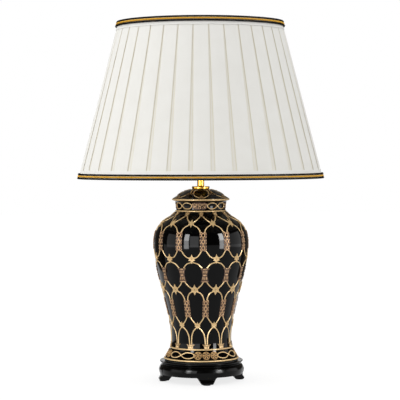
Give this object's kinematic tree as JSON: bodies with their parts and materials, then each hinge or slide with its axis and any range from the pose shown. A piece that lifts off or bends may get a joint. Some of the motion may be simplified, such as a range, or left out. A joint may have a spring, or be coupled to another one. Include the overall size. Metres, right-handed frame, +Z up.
{
  "type": "table lamp",
  "caption": "Table lamp with a black glazed baluster jar under raised gilt tracery, a footed lacquered plinth and a pleated drum-like cone shade on a harp.",
  "frame": {"origin": "on the table under the lamp's axis, level with the soles of the felt pads", "axes": "+Z up along the rod, -Y towards the front foot and the switch knob, the harp in the X-Z plane"},
  "size_m": [0.4104, 0.4104, 0.604],
  "materials": {
    "felt": "matt felt",
    "black_lacquer": "black lacquer, satin",
    "black_board": "painted fibreboard",
    "steel": "zinc plated",
    "black_plastic": "moulded",
    "gasket": "matt",
    "black_glaze": "gloss glaze",
    "polished_brass": "polished",
    "plain_brass": "pressed, unpolished",
    "porcelain": "unglazed",
    "liner_board": "fibre paper",
    "brown_plastic": "moulded",
    "contact_glass": "black vitrite with a solder point",
    "bulb_metal": "rolled thread",
    "opal_glass": "opal white",
    "white_cloth": "pleated silk-like cloth",
    "lining_sheet": "smooth translucent sheet",
    "white_wire": "white enamel",
    "white_tape": "bias tape",
    "black_cord": "twisted cord",
    "gold_cord": "twisted metallic cord"
  },
  "bodies": {
    "base": {"felt_pads": "felt", "plinth_feet": "black_lacquer", "plinth": "black_lacquer", "base_cover": "black_board", "cover_screws": "steel", "cord_outlet_bush": "black_plastic", "rod_nut": "steel", "rod_washer": "steel", "jar_gasket": "gasket", "jar_body": "black_glaze", "lid_gasket": "gasket", "jar_lid": "black_glaze", "threaded_rod": "steel", "brass_cap": "polished_brass", "rod_sleeve": "polished_brass", "harp_saddle": "polished_brass", "harp_wire": "polished_brass", "harp_stud": "polished_brass", "holder_cap": "polished_brass", "holder_shell": "polished_brass", "holder_insulator": "porcelain", "holder_liner": "liner_board", "screw_shell": "plain_brass", "centre_contact": "plain_brass", "terminal_screws": "steel", "switch_collar": "polished_brass"},
    "lock_left": {"lock_sleeve_left": "polished_brass"},
    "lock_right": {"lock_sleeve_right": "polished_brass"},
    "switch": {"switch_spindle": "steel", "switch_knob": "brown_plastic"},
    "bulb_carrier": {"bulb_contact": "contact_glass"},
    "bulb": {"bulb_cap": "bulb_metal", "bulb_globe": "opal_glass"},
    "shade": {"shade_cover": "white_cloth", "shade_lining": "lining_sheet", "shade_frame": "white_wire", "shade_spider": "white_wire", "binding_bottom": "white_tape", "binding_top": "white_tape", "trim_bottom_black": "black_cord", "trim_bottom_gold": "gold_cord", "trim_top_black": "black_cord", "trim_top_gold": "gold_cord"},
    "finial_carrier": {"finial_insert": "plain_brass"},
    "finial": {"finial_knob": "polished_brass"}
  },
  "joints": [
    {"name": "lock_left_slide", "type": "slide", "parent": "base", "child": "lock_left", "axis": [0, 0, 1], "range_m": [0, 0.013]},
    {"name": "lock_right_slide", "type": "slide", "parent": "base", "child": "lock_right", "axis": [0, 0, 1], "range_m": [0, 0.013]},
    {"name": "switch_turn", "type": "hinge", "parent": "base", "child": "switch", "pos_m": [0, -0.03, 0.3697], "axis": [0, -1, 0], "continuous": true},
    {"name": "bulb_lift", "type": "slide", "parent": "base", "child": "bulb_carrier", "axis": [0, 0, 1], "range_m": [0, 0.01088]},
    {"name": "bulb_turn", "type": "hinge", "parent": "bulb_carrier", "child": "bulb", "pos_m": [0, 0, 0.39], "axis": [0, 0, 1], "range_deg": [0, 1080]},
    {"name": "shade_turn", "type": "hinge", "parent": "base", "child": "shade", "pos_m": [0, 0, 0.581], "axis": [0, 0, 1], "continuous": true},
    {"name": "finial_lift", "type": "slide", "parent": "base", "child": "finial_carrier", "axis": [0, 0, 1], "range_m": [0, 0.01128]},
    {"name": "finial_turn", "type": "hinge", "parent": "finial_carrier", "child": "finial", "pos_m": [0, 0, 0.59], "axis": [0, 0, 1], "range_deg": [0, 4320]}
  ],
  "couplings": [
    {"joint": "bulb_turn", "follows": "bulb_lift", "rad_per_m": 1730.9},
    {"joint": "finial_turn", "follows": "finial_lift", "rad_per_m": 6679.6}
  ]
}
